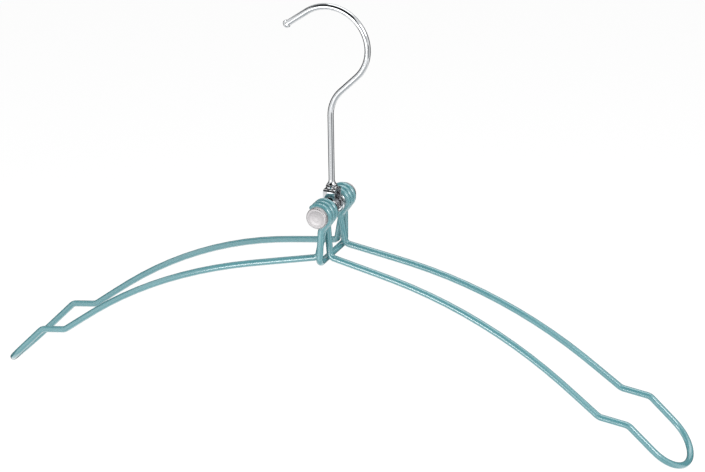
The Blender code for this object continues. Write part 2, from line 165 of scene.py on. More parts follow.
def emboss(tree: NodeTree, shader: Node, height: NodeSocket, strength: float,
           depth: float) -> None:
    """Let a pattern move the light on the surface, as relief of a depth in millimetres."""
    bump = add_node(tree, "ShaderNodeBump", values={
        "Strength": strength, "Distance": depth * MM}, links={"Height": height})
    tree.links.new(bump.outputs["Normal"], shader.inputs["Normal"])


@dataclass(frozen=True)
class Finish:
    """What every finish shares: a name, a colour and the shader they start.

    Attributes:
        name: Name of the material.
        color: Main colour as sRGB hex.
        roughness: Lowest and highest roughness over the surface.
    """

    name: str
    color: str
    roughness: tuple[float, float]

    def start(self, **sockets: float) -> tuple[Material, NodeTree, Node, NodeSocket]:
        """Make the material with its shader and its object coordinates.

        Args:
            **sockets: Constants of the shader, with underscores for spaces.

        Returns:
            The material, its tree, its shader and the coordinates' socket.
        """
        material, tree = new_material(self.name)
        shader = tree.nodes["Principled BSDF"]
        shader.inputs["Base Color"].default_value = linear(self.color)
        material.diffuse_color = linear(self.color)
        for key, value in sockets.items():
            shader.inputs[key.replace("_", " ")].default_value = value
        place = add_node(tree, "ShaderNodeTexCoord")
        return material, tree, shader, place.outputs["Object"]

    def vary_roughness(self, tree: NodeTree, shader: Node, source: NodeSocket,
                       low: float = 0.35, high: float = 0.65) -> None:
        """Drive the roughness between this finish's two values as a pattern climbs."""
        spread = add_node(tree, "ShaderNodeMapRange", values={
            "From Min": low, "From Max": high,
            "To Min": self.roughness[0], "To Max": self.roughness[1]}, links={"Value": source})
        tree.links.new(spread.outputs["Result"], shader.inputs["Roughness"])

    def material(self) -> Material:
        """Build the material, as each finish does in its own way."""
        raise NotImplementedError


@dataclass(frozen=True)
class PowderCoat(Finish):
    """Polyester powder coat baked on steel wire: glossy, with the faint peel of melted powder.

    The clear skin over the colour gives the wire its narrow bright lines.

    Attributes:
        pale: The tone where the coat lies thin.
        peel_mm: Width of the peel's dimples.
        mottle_mm: Width of the patches of thicker and thinner coat.
    """

    pale: str = "#65A2A9"
    peel_mm: float = 1.4
    mottle_mm: float = 14.0

    def material(self) -> Material:
        """Build the coat: soft gloss, two close tones, peel in the highlights."""
        material, tree, shader, place = self.start(
            IOR=1.5, Coat_Weight=1.0, Coat_IOR=1.85, Coat_Roughness=0.12)
        mottle = noise(tree, place, self.mottle_mm, detail=3.0)
        tone = add_node(tree, "ShaderNodeMix", {"data_type": "RGBA"}, {
            6: linear(self.color), 7: linear(self.pale)}, {0: mottle})
        tree.links.new(tone.outputs[2], shader.inputs["Base Color"])
        peel = noise(tree, place, self.peel_mm, detail=1.0, roughness=0.4)
        emboss(tree, shader, peel, strength=0.5, depth=0.03)
        self.vary_roughness(tree, shader, mottle)
        return material


@dataclass(frozen=True)
class ChromePlate(Finish):
    """Bright chrome plated on drawn steel: a mirror that the bent wire under it ripples.

    Attributes:
        ripple_mm: Length of the ripples that bending and drawing leave.
        scuff_mm: Width of the faint handling marks.
    """

    ripple_mm: float = 6.0
    scuff_mm: float = 0.7

    def material(self) -> Material:
        """Build the plate: a clear mirror, slow ripples, fine scuffs."""
        material, tree, shader, place = self.start(Metallic=1.0)
        ripple = noise(tree, place, self.ripple_mm, detail=1.0)
        scuff = noise(tree, place, self.scuff_mm, detail=4.0)
        emboss(tree, shader, ripple, strength=0.6, depth=0.05)
        self.vary_roughness(tree, shader, scuff)
        return material


@dataclass(frozen=True)
class SatinPlate(Finish):
    """Satin nickel on a turned cap: pale and soft, with the tool's rings under the plate.

    Attributes:
        center: Height of the turning axis, which lies along Y.
        ring_mm: Spacing of the tool's rings, drawn much coarser than real so that they show.
    """

    center: float = PIN_HEIGHT
    ring_mm: float = pi

    def material(self) -> Material:
        """Build the plate: soft gloss with rings about the turning axis."""
        material, tree, shader, place = self.start(Metallic=1.0)
        centered = add_node(tree, "ShaderNodeMapping", values={
            "Location": (0, 0, -self.center)}, links={"Vector": place})
        turn = add_node(tree, "ShaderNodeTexWave", {
            "wave_type": "RINGS", "rings_direction": "Y"}, {
            "Scale": 2 * pi * per_mm(self.ring_mm) / WAVE_RADIANS, "Distortion": 0.6,
            "Detail": 2.0}, {"Vector": centered.outputs["Vector"]})
        rings = turn.outputs["Fac"]
        emboss(tree, shader, rings, strength=0.35, depth=0.01)
        self.vary_roughness(tree, shader, rings, low=0.0, high=1.0)
        return material


@dataclass(frozen=True)
class ZincPlate(Finish):
    """Clear zinc plate on turned steel: greyer than chrome, with a cloudy grain.

    Attributes:
        grain_mm: Width of the clouds in the plate.
    """

    grain_mm: float = 1.2

    def material(self) -> Material:
        """Build the plate: dull metal with a cloudy grain."""
        material, tree, shader, place = self.start(Metallic=1.0)
        grain = noise(tree, place, self.grain_mm, detail=5.0)
        emboss(tree, shader, grain, strength=0.3, depth=0.01)
        self.vary_roughness(tree, shader, grain)
        return material


FINISHES: dict[Slot, Finish] = {
    Slot.COATING: PowderCoat("powder_coated_wire", "#5A979F", (0.18, 0.28)),
    Slot.CHROME: ChromePlate("bright_chrome", "#D3D5D7", (0.04, 0.10)),
    Slot.CAP: SatinPlate("satin_nickel_cap", "#C4C1C2", (0.50, 0.58)),
    Slot.STEEL: ZincPlate("zinc_plated_steel", "#A9ABAF", (0.24, 0.40)),
}


@cache
def material_of(slot: Slot) -> Material:
    """The material of a slot, built when it is first asked for."""
    return FINISHES[slot].material()


# Tools for bent wire and turned pieces


def at(x: float, y: float, z: float) -> Vector:
    """A point given in metres."""
    return Vector((x, y, z))


def circle_arc(center: tuple[float, float], radius: float, start: float, end: float,
               steps: int) -> Profile:
    """Points of a flat arc between two angles, both ends included."""
    angles = [start + (end - start) * i / steps for i in range(steps + 1)]
    return [(center[0] + radius * cos(a), center[1] + radius * sin(a)) for a in angles]


def ring_profile(bore: float, outer: float, thickness: float, ease: float) -> Profile:
    """Rings of a washer or spacer with broken rims, back to the first one."""
    return [(bore, 0), (outer - ease, 0), (outer, ease), (outer, thickness - ease),
            (outer - ease, thickness), (bore, thickness), (bore, 0)]


def pick(piece: Object) -> None:
    """Select one piece alone and make it the active one."""
    bpy.ops.object.select_all(action="DESELECT")
    piece.select_set(True)
    bpy.context.view_layer.objects.active = piece


def modify(piece: Object, kind: str, **settings: Any) -> None:
    """Add a modifier to a piece and apply it.

    Args:
        piece: The piece.
        kind: The modifier's type.
        **settings: Properties of the modifier.
    """
    pick(piece)
    bpy.ops.object.modifier_add(type=kind)
    modifier = piece.modifiers[-1]
    for key, value in settings.items():
        setattr(modifier, key, value)
    bpy.ops.object.modifier_apply(modifier=modifier.name)


@dataclass(frozen=True)
class Corner:
    """A corner of a wire's route.

    Attributes:
        place: Where the straight runs on both sides would meet.
        bend: Radius of the bend, or None for the widest that fits.
    """

    place: Vector
    bend: float | None = None


class Bench:
    """A bending bench and lathe: a ring of skin drawn out, bent and narrowed in edit mode.

    Attributes:
        piece: The piece on the bench.
        here: Centre of the ring that is drawn next.
        heading: Direction in which it is drawn.
        radius: Radius of that ring.
    """

    WIRE_SIDES = 32
    TURNED_SIDES = 64
    BEND_STEP = radians(5.0)
    DOME_STEPS = 5
    # How far a wire's rounded end stands proud, as a share of its radius
    WIRE_DOME = 0.6

    def __init__(self, name: str, base: Vector, heading: Vector, profile: Profile,
                 sides: int = WIRE_SIDES) -> None:
        """Draw the start of a piece, or all of it, through the rings of a profile.

        Args:
            name: Name of the piece.
            base: Where the profile's depth 0 lies.
            heading: Direction in which the piece is drawn out.
            profile: Radius and depth of each ring.
            sides: How many sides a ring has.
        """
        self.radius, depth = profile[0]
        self.heading = heading.normalized()
        self.here = base + self.heading * depth
        bpy.ops.object.select_all(action="DESELECT")
        bpy.ops.mesh.primitive_circle_add(
            vertices=sides, radius=self.radius, location=self.here,
            rotation=self.heading.to_track_quat("Z", "Y").to_euler())
        self.piece = bpy.context.object
        self.piece.name = name
        self.piece.data.name = name
        bpy.ops.object.mode_set(mode="EDIT")
        bpy.ops.mesh.select_all(action="SELECT")
        self.lathe(profile)

    def reshape(self, places: list[Vector]) -> None:
        """Give the first ring another outline.

        Args:
            places: Where its corners go.
        """
        bpy.ops.object.mode_set(mode="OBJECT")
        into = self.piece.matrix_world.inverted()
        for vertex, place in zip(self.piece.data.vertices, places):
            vertex.co = into @ place
        bpy.ops.object.mode_set(mode="EDIT")

    def draw(self, length: float, radius: float | None = None) -> None:
        """Draw the ring on along its heading.

        Args:
            length: How far it is drawn.
            radius: Its new radius, if that changes.
        """
        step = self.heading * length
        bpy.ops.mesh.extrude_region_move(TRANSFORM_OT_translate={"value": step})
        self.here += step
        if radius is not None and radius != self.radius:
            share = radius / self.radius
            bpy.ops.transform.resize(value=(share, share, share), center_override=self.here)
            self.radius = radius

    def bend(self, center: Vector, axis: Vector, angle: float, steps: int | None = None) -> None:
        """Carry the ring round a bend, right-handed about the axis.

        Args:
            center: A point on the bend's axis.
            axis: Direction of the bend's axis.
            angle: How far the bend turns.
            steps: How many steps it takes, if not one for each few degrees.
        """
        count = steps or max(1, ceil(abs(angle) / self.BEND_STEP))
        bpy.ops.mesh.spin(steps=count, angle=-angle, center=center, axis=axis)
        turn = Matrix.Rotation(angle, 3, axis)
        self.here = center + turn @ (self.here - center)
        self.heading = turn @ self.heading

    def follow(self, corners: list[Corner]) -> None:
        """Draw the ring along a route that starts where it is, with a bend at each corner.

        Args:
            corners: The corners, of which the last is the route's end.
        """
        route = [Corner(self.here.copy()), *corners]
        for before, corner, after in zip(route, corners, corners[1:]):
            to_before = before.place - corner.place
            to_after = after.place - corner.place
            turn = pi - to_before.angle(to_after)
            bend = corner.bend
            if bend is None:
                bend = min(to_before.length, to_after.length) / 2 / tan(turn / 2)
            reach = bend * tan(turn / 2)
            tangent = corner.place + to_before.normalized() * reach
            run = tangent - self.here
            if run.length > MERGE:
                self.heading = run.normalized()
                self.draw(run.length)
            inward = (to_before.normalized() + to_after.normalized()).normalized()
            center = corner.place + inward * bend / cos(turn / 2)
            axis = (self.here - center).cross(-to_before).normalized()
            self.bend(center, axis, turn)
        run = corners[-1].place - self.here
        self.heading = run.normalized()
        self.draw(run.length)

    def lathe(self, profile: Profile) -> None:
        """Draw the ring through a profile, whose first ring is the one on the bench."""
        for (_, before), (radius, depth) in zip(profile, profile[1:]):
            self.draw(depth - before, radius)

    @classmethod
    def dome(cls, radius: float, share: float) -> Profile:
        """Rings of a rounded end, which stands proud by a share of its radius."""
        angles = [pi / 2 * i / (cls.DOME_STEPS + 1) for i in range(cls.DOME_STEPS + 1)]
        return [(radius * cos(a), radius * share * sin(a)) for a in angles]

    @classmethod
    def turned(cls, name: str, base: Vector, outward: Vector, profile: Profile) -> Object:
        """Turn a whole piece."""
        return cls(name, base, outward, profile, cls.TURNED_SIDES).finish()

    def finish(self) -> Object:
        """Join rings that meet, close the ends that don't and take the piece off the bench.

        Returns:
            The piece, at the origin with its place in its mesh.
        """
        bpy.ops.mesh.select_all(action="SELECT")
        bpy.ops.mesh.remove_doubles(threshold=MERGE)
        bpy.ops.mesh.fill_holes(sides=0)
        bpy.ops.mesh.select_all(action="SELECT")
        bpy.ops.mesh.normals_make_consistent(inside=False)
        bpy.ops.object.mode_set(mode="OBJECT")
        pick(self.piece)
        bpy.ops.object.transform_apply(location=True, rotation=True, scale=True)
        bpy.ops.object.shade_smooth_by_angle(angle=CREASE)
        return self.piece


def hand_over(piece: Object, slot: Slot, body: str, *nodes: str) -> None:
    """Dress a piece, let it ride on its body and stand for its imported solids.

    Args:
        piece: The piece.
        slot: The record's slot that its finish comes from.
        body: The body that carries it.
        *nodes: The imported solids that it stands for.
    """
    piece.data.materials.clear()
    piece.data.materials.append(material_of(slot))
    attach(piece, body)
    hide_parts(*nodes)
    LOG.info("%s rides on %s, %d faces", piece.name, body, len(piece.data.polygons))


# The hanger's sub-assemblies


@dataclass(frozen=True)
class Pivot:
    """The pin's line and what is stacked on it, from the middle outwards.

    Attributes:
        height: Height of the pin's axis.
        gap: Space between pieces that touch.
        wire: Radius of the coated wire.
        radius: Radius of the pin.
        play: Clearance of the eyes on the pin.
        ear: Distance from the bracket's middle to an ear's outer face.
        spacers: Thickness of the front and the rear spacer.
        spacer_radius: Radius of a spacer.
        spacer_ease: Break of a spacer's rims.
        cap_radius: Radius of a cap.
        cap_length: Length of a cap.
        cap_rim: Round of a cap's rim.
        rim_steps: Chords of that round.
        dish: Depth of the dish in a cap's face.
        center: Radius of the last ring of a turned face.
        spigot: Radius of the spigot that holds a cap.
        spigot_length: Length of that spigot.
        pin_ease: Break of the pin's edges.
    """

    height: float = PIN_HEIGHT
    gap: float = 0.3 * MM
    wire: float = 1.85 * MM
    radius: float = 3.5 * MM
    play: float = 0.35 * MM
    ear: float = 4.8 * MM
    spacers: tuple[float, float] = (2.7 * MM, 0.7 * MM)
    spacer_radius: float = 5.8 * MM
    spacer_ease: float = 0.15 * MM
    cap_radius: float = 6.1 * MM
    cap_length: float = 2.6 * MM
    cap_rim: float = 0.8 * MM
    rim_steps: int = 6
    dish: float = 0.08 * MM
    center: float = 0.05 * MM
    spigot: float = 2.0 * MM
    spigot_length: float = 1.4 * MM
    pin_ease: float = 0.3 * MM

    @property
    def eye_radius(self) -> float:
        """Radius of an eye's centre line."""
        return self.radius + self.play + self.wire

    @property
    def middle(self) -> float:
        """Place in Y of the middle of all that is stacked on the pin."""
        return (self.spacers[1] - self.spacers[0]) / 2

    def eye(self, place: int) -> float:
        """Distance from the middle to an eye: 0 the right arm's, 1 the left's, 2 the stirrup's."""
        inner = self.ear + self.gap + sum(self.spacers) / 2 + self.gap + self.wire
        return inner + place * (2 * self.wire + self.gap)

    @property
    def cap_inner(self) -> float:
        """Distance from the middle to a cap's inner face."""
        return self.eye(2) + self.wire + self.gap

    def cap_profile(self) -> Profile:
        """Rings of a cap: its bore, inner face, side, rounded rim and faintly dished face."""
        bore = self.spigot + self.gap
        depth = self.spigot_length + self.gap
        rim = circle_arc((self.cap_radius - self.cap_rim, self.cap_length - self.cap_rim),
                         self.cap_rim, 0, pi / 2, self.rim_steps)
        edge = self.cap_radius - 2 * self.cap_rim
        floor = self.cap_length - self.dish
        return [(self.center, depth), (bore, depth), (bore, 0), (self.cap_radius - self.dish, 0),
                (self.cap_radius, self.dish), *rim, (edge, self.cap_length),
                (edge - 2 * self.dish, floor), (self.center, floor)]

    def build(self) -> None:
        """Build the pin, its two caps and its two spacers."""
        shaft = self.cap_inner - self.gap
        end, ease = shaft + self.spigot_length, self.pin_ease
        pin = Bench.turned("pivot_pin_shaft", at(0, self.middle, self.height), AXIS_Y, [
            (self.spigot - ease, -end), (self.spigot, ease - end), (self.spigot, -shaft),
            (self.radius - ease, -shaft), (self.radius, ease - shaft),
            (self.radius, shaft - ease), (self.radius - ease, shaft), (self.spigot, shaft),
            (self.spigot, end - ease), (self.spigot - ease, end)])
        hand_over(pin, Slot.STEEL, "bracket", "pivot_pin")
        for face, word, thickness in zip(Face, ("front", "rear"), self.spacers):
            outward = AXIS_Y * face.value
            inner = self.middle + face.value * self.cap_inner
            cap = Bench.turned(f"{word}_cap_turned", at(0, inner, self.height), outward,
                               self.cap_profile())
            hand_over(cap, Slot.CAP, "bracket", f"{word}_cap")
            seat = at(0, face.value * (self.ear + self.gap), self.height)
            spacer = Bench.turned(f"{word}_spacer_ring", seat, outward, ring_profile(
                self.radius + self.gap, self.spacer_radius, thickness, self.spacer_ease))
            hand_over(spacer, Slot.CHROME, "bracket", f"{word}_spacer")


@dataclass(frozen=True)
class CoatedWire:
    """What the arms and the stirrup share: eyes wound round the pin and necks down from them.

    Every neck leaves its eye on the hook's right.

    Attributes:
        pivot: The pin that the eyes turn on.
        end_angle: Where the wire's end lies on its eye, from level, turning up.
        neck_length: Length of the neck's straight run.
        neck_angle: Where the neck leaves the eye.
        neck_bend: Bend from the neck into the riser.
        splay: How much further apart the feet are than the eyes.
    """

    pivot: Pivot
    end_angle: float = radians(138.0)
    neck_length: float = 6.8 * MM
    neck_angle: float = radians(-35.0)
    neck_bend: float = 4.0 * MM
    splay: float = 0.0

    def on_eye(self, angle: float, y: float) -> Vector:
        """Point of an eye's centre line at an angle, on the eye at y from the middle."""
        reach = self.pivot.eye_radius
        return at(reach * cos(angle), self.pivot.middle + y,
                  self.pivot.height + reach * sin(angle))

    def neck(self, y: float) -> Corner:
        """Corner between an eye's neck and its riser."""
        down = at(sin(self.neck_angle), 0, -cos(self.neck_angle))
        return Corner(self.on_eye(self.neck_angle, y) + down * self.neck_length, self.neck_bend)

    def bend_wire(self, name: str, y: float, corners: list[Corner]) -> Object:
        """Bend one wire: front eye, a route between the necks, rear eye.

        Args:
            name: Name of the piece.
            y: Distance from the middle to both eyes.
            corners: Corners of the route after the front neck and before the rear neck.

        Returns:
            The piece.
        """
        middle = at(0, 0, self.pivot.height)
        start = self.on_eye(self.end_angle, -y)
        heading = at(sin(self.end_angle), 0, -cos(self.end_angle))
        wound = self.end_angle - self.neck_angle
        end = Bench.dome(self.pivot.wire, Bench.WIRE_DOME)
        bench = Bench(name, start, heading, [(ring, -height) for ring, height in reversed(end)])
        bench.bend(middle, AXIS_Y, wound)
        leave = self.on_eye(self.neck_angle, y)
        bench.follow([self.neck(-y), *corners, self.neck(y), Corner(leave)])
        bench.bend(middle, AXIS_Y, -wound)
        bench.lathe(end)
        return bench.finish()


@dataclass(frozen=True)
class HangerArm(CoatedWire):
    """A hairpin arm: two rails with strap notches, joined round a tip loop.

    Attributes:
        body: The arm's body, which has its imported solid's name.
        side: Side of the hook that the arm points to.
        place: Its eyes' place in the stack on the pin.
        foot_reach: How much nearer to the pin's axis the feet are along the rails' lines.
        swell: How far each rail bows out between foot and notch.
        notch_length: Length of the strap notch.
        tip_slope: Slope of the run from the notch to the tip.
        tip_straight: Length of that run before the tip's loop.
        foot_offset: Distance of a foot from the pin's axis, to the side.
        foot_drop: How far a foot hangs below the pin's axis.
        foot_bend: Bend from a riser into its rail.
        slope_start: Slope of the rail at its foot.
        slope_end: Slope of the rail at its notch.
        inner_run: Straight run from the foot to the bow.
        bow_radius: Radius of the bow.
        bow_steps: Chords of the bow.
        outer_run: Straight run from the bow to the notch.
        notch_slope: Slope of the notch.
        notch_bend: Bend at both ends of the notch.
        loop_depth: How far the tip's loop reaches.
        loop_steps: Chords of a quarter of it.
        notch_half_width: Half the width between the rails at the notch.
        tip_half_width: Half that width at the tip.
        sweep: How far the arm swings to the rear.
    """

    body: str = "right_arm"
    side: Side = Side.RIGHT
    place: int = 0
    foot_reach: float = 0.0
    swell: float = 0.0
    notch_length: float = 0.0
    tip_slope: float = 0.0
    tip_straight: float = 0.0
    foot_offset: float = 3.4 * MM
    foot_drop: float = 26.3 * MM
    foot_bend: float = 3.4 * MM
    slope_start: float = radians(11.2)
    slope_end: float = radians(36.8)
    inner_run: float = 34.5 * MM
    bow_radius: float = 266.0 * MM
    bow_steps: int = 11
    outer_run: float = 22.5 * MM
    notch_slope: float = radians(8.4)
    notch_bend: float = 6.0 * MM
    loop_depth: float = 19.2 * MM
    loop_steps: int = 8
    notch_half_width: float = 19.8 * MM
    tip_half_width: float = 19.6 * MM
    sweep: float = radians(1.1)

    def profile(self) -> list[tuple[float, float, float | None]]:
        """Corners seen from the front: distance from the pin's axis, height, bend."""
        x, z = self.foot_offset, self.pivot.height - self.foot_drop
        corners = [
            (x - self.foot_reach * cos(self.slope_start),
             z + self.foot_reach * sin(self.slope_start), self.foot_bend)]
        x += self.inner_run * cos(self.slope_start)
        z -= self.inner_run * sin(self.slope_start)
        center = (x - self.bow_radius * sin(self.slope_start),
                  z - self.bow_radius * cos(self.slope_start))
        bow = circle_arc(center, self.bow_radius, pi / 2 - self.slope_start,
                         pi / 2 - self.slope_end, self.bow_steps)
        corners += [(bow_x, bow_z, None) for bow_x, bow_z in bow]
        x, z = bow[-1]
        for length, slope in ((self.outer_run, self.slope_end),
                              (self.notch_length, self.notch_slope)):
            x += length * cos(slope)
            z -= length * sin(slope)
            corners.append((x, z, self.notch_bend))
        return corners

    def half_width(self, x: float, foot_x: float, notch_x: float) -> float:
        """Half the width between the rails.

        Args:
            x: Distance from the pin's axis.
            foot_x: That distance at the foot.
            notch_x: That distance at the notch.

        Returns:
            Distance of a rail from the middle.
        """
        share = min(1.0, (x - foot_x) / (notch_x - foot_x))
        foot_y = self.pivot.eye(self.place) + self.splay
        bowed = self.swell * 4 * share * (1 - share)
        return foot_y + (self.notch_half_width - foot_y) * share + bowed

    def rail(self, face: Face) -> list[Corner]:
        """Corners of one rail from its foot to the middle of the tip's loop.

        Args:
            face: The front rail or the rear one.

        Returns:
            The corners.
        """
        profile = self.profile()
        foot_x, notch_x = profile[0][0], profile[-2][0]
        half = [(x, self.half_width(x, foot_x, notch_x), z, bend) for x, z, bend in profile]
        tip_x, tip_z, _ = profile[-1]
        for i in range(self.loop_steps + 1):
            angle = pi / 2 * i / self.loop_steps
            along = self.tip_straight + self.loop_depth * sin(angle)
            half.append((tip_x + along * cos(self.tip_slope), self.tip_half_width * cos(angle),
                         tip_z - along * sin(self.tip_slope), None))
        swept = tan(self.sweep)
        return [Corner(at(self.side.value * x,
                          self.pivot.middle + face.value * y + (x - foot_x) * swept, z), bend)
                for x, y, z, bend in half]

    def build(self) -> None:
        """Bend the arm and hand it over."""
        corners = self.rail(Face.FRONT) + self.rail(Face.REAR)[-2::-1]
        wire = self.bend_wire(f"{self.body}_wire", self.pivot.eye(self.place), corners)
        hand_over(wire, Slot.COATING, self.body, self.body)


@dataclass(frozen=True)
class StopStirrup(CoatedWire):
    """The U of wire that hangs between the arms and stops them open.

    Attributes:
        drop: How far the crossbar hangs below the pin's axis.
        skew: How far each leg's foot stands to its side.
        bend_radius: Bend from a leg into the crossbar.
    """

    drop: float = 28.3 * MM
    skew: float = 0.2 * MM
    splay: float = 0.9 * MM
    bend_radius: float = 3.0 * MM

    def build(self) -> None:
        """Bend the stirrup and hand it over."""
        y = self.pivot.eye(2)
        corners = [Corner(at(face.value * self.skew,
                             self.pivot.middle + face.value * (y + self.splay),
                             self.pivot.height - self.drop), self.bend_radius) for face in Face]
        wire = self.bend_wire("stop_stirrup_wire", y, corners)
        hand_over(wire, Slot.COATING, "stirrup", "stop_stirrup")


@dataclass(frozen=True)
class SwivelHook:
    """The hook: riveted head, collar, shank, S-bend, crown and button, with both washers.

    Attributes:
        bracket: The bracket that the shank turns in.
        inner_radius: Inside radius of the crown.
        lean_in: Where the crown begins, from level, turning up.
        open_angle: Where the crown ends.
        neck_bend: Bend from the shank towards the crown.
        end_length: Straight run from the crown to the button.
        button: Radius of the button.
        button_neck: Length over which the wire widens into it.
        button_dome: How far its end stands proud, as a share of its radius.
        collar: Radius of the collar over the bracket.
        collar_rim: Height of the collar's rim.
        collar_height: Height of the collar with its flare.
        flare_steps: Rings of the flare.
        head: Radius of the riveted head.
        head_height: Height of that head.
        head_flat: Share of its radius that is flat.
        head_angles: Where the rings of its round lie, in degrees.
        ease: Break of the collar's and the head's edges.
        upper_washer: Radius and thickness of the washer over the bracket's top.
        lower_washer: Radius and thickness of the washer under it.
        washer_ease: Break of a washer's rims.
        sides: Sides of the wire.
    """

    bracket: Bracket
    inner_radius: float = 20.8 * MM
    lean_in: float = radians(-45.7)
    open_angle: float = radians(125.2)
    neck_bend: float = 21.0 * MM
    end_length: float = 13.8 * MM
    button: float = 2.2 * MM
    button_neck: float = 0.4 * MM
    button_dome: float = 0.55
    collar: float = 2.8 * MM
    collar_rim: float = 0.7 * MM
    collar_height: float = 3.2 * MM
    flare_steps: int = 10
    head: float = 2.2 * MM
    head_height: float = 1.5 * MM
    head_flat: float = 0.45
    head_angles: tuple[float, ...] = (0, 25, 45, 65, 80, 90)
    ease: float = 0.25 * MM
    upper_washer: tuple[float, float] = (3.3 * MM, 1.2 * MM)
    lower_washer: tuple[float, float] = (3.0 * MM, 0.7 * MM)
    washer_ease: float = 0.15 * MM
    sides: int = 48

    def head_and_collar(self) -> Profile:
        """Radius and height of each ring from the head's end to where the bare wire begins."""
        gap, wire, ease, rim = self.bracket.pivot.gap, self.bracket.shank, self.ease, self.collar
        top = self.bracket.top_height
        head_top = top - self.bracket.thickness - self.lower_washer[1] - 2 * gap
        low = top + self.upper_washer[1] + 2 * gap
        high = low + self.collar_rim
        flat, round_height = self.head * self.head_flat, self.head_height / 2
        rings = [(flat + (self.head - flat) * sin(angle),
                  head_top - self.head_height + round_height * (1 - cos(angle)))
                 for angle in map(radians, self.head_angles)]
        rings += [(self.head, head_top - ease), (self.head - ease, head_top), (wire, head_top),
                  (wire, low), (rim - ease, low), (rim, low + ease), (rim, high - ease),
                  (rim - ease, high)]
        shares = [i / self.flare_steps for i in range(1, self.flare_steps + 1)]
        return rings + [(wire + (rim - ease - wire) * (1 - share) ** 2,
                         high + (self.collar_height - self.collar_rim) * share)
                        for share in shares]

    def wire_piece(self) -> Object:
        """Bend the hook from its riveted head to its button."""
        bench = Bench("hook_wire", at(0, 0, 0), AXIS_Z, self.head_and_collar(), self.sides)
        loop = self.inner_radius + self.bracket.shank
        start = at(loop * cos(self.lean_in), 0, loop * sin(self.lean_in) - self.inner_radius)
        knee = at(0, 0, start.z - start.x / tan(-self.lean_in))
        bench.follow([Corner(knee, self.neck_bend), Corner(start)])
        bench.bend(at(0, 0, -self.inner_radius), -AXIS_Y, self.open_angle - self.lean_in)
        bench.draw(self.end_length)
        bench.draw(self.button_neck, self.button)
        bench.draw(self.button / 2)
        bench.lathe(bench.dome(self.button, self.button_dome))
        return bench.finish()

    def build(self) -> None:
        """Build the hook and both washers."""
        hand_over(self.wire_piece(), Slot.CHROME, "hook", "hook")
        top, gap = self.bracket.top_height, self.bracket.pivot.gap
        under = top - self.bracket.thickness - gap - self.lower_washer[1]
        for name, base, size, slot, body in (
                ("upper_washer", top + gap, self.upper_washer, Slot.CHROME, "bracket"),
                ("lower_washer", under, self.lower_washer, Slot.STEEL, "hook")):
            washer = Bench.turned(f"{name}_disc", at(0, 0, base), AXIS_Z, ring_profile(
                self.bracket.shank + gap, *size, self.washer_ease))
            hand_over(washer, slot, body, name)


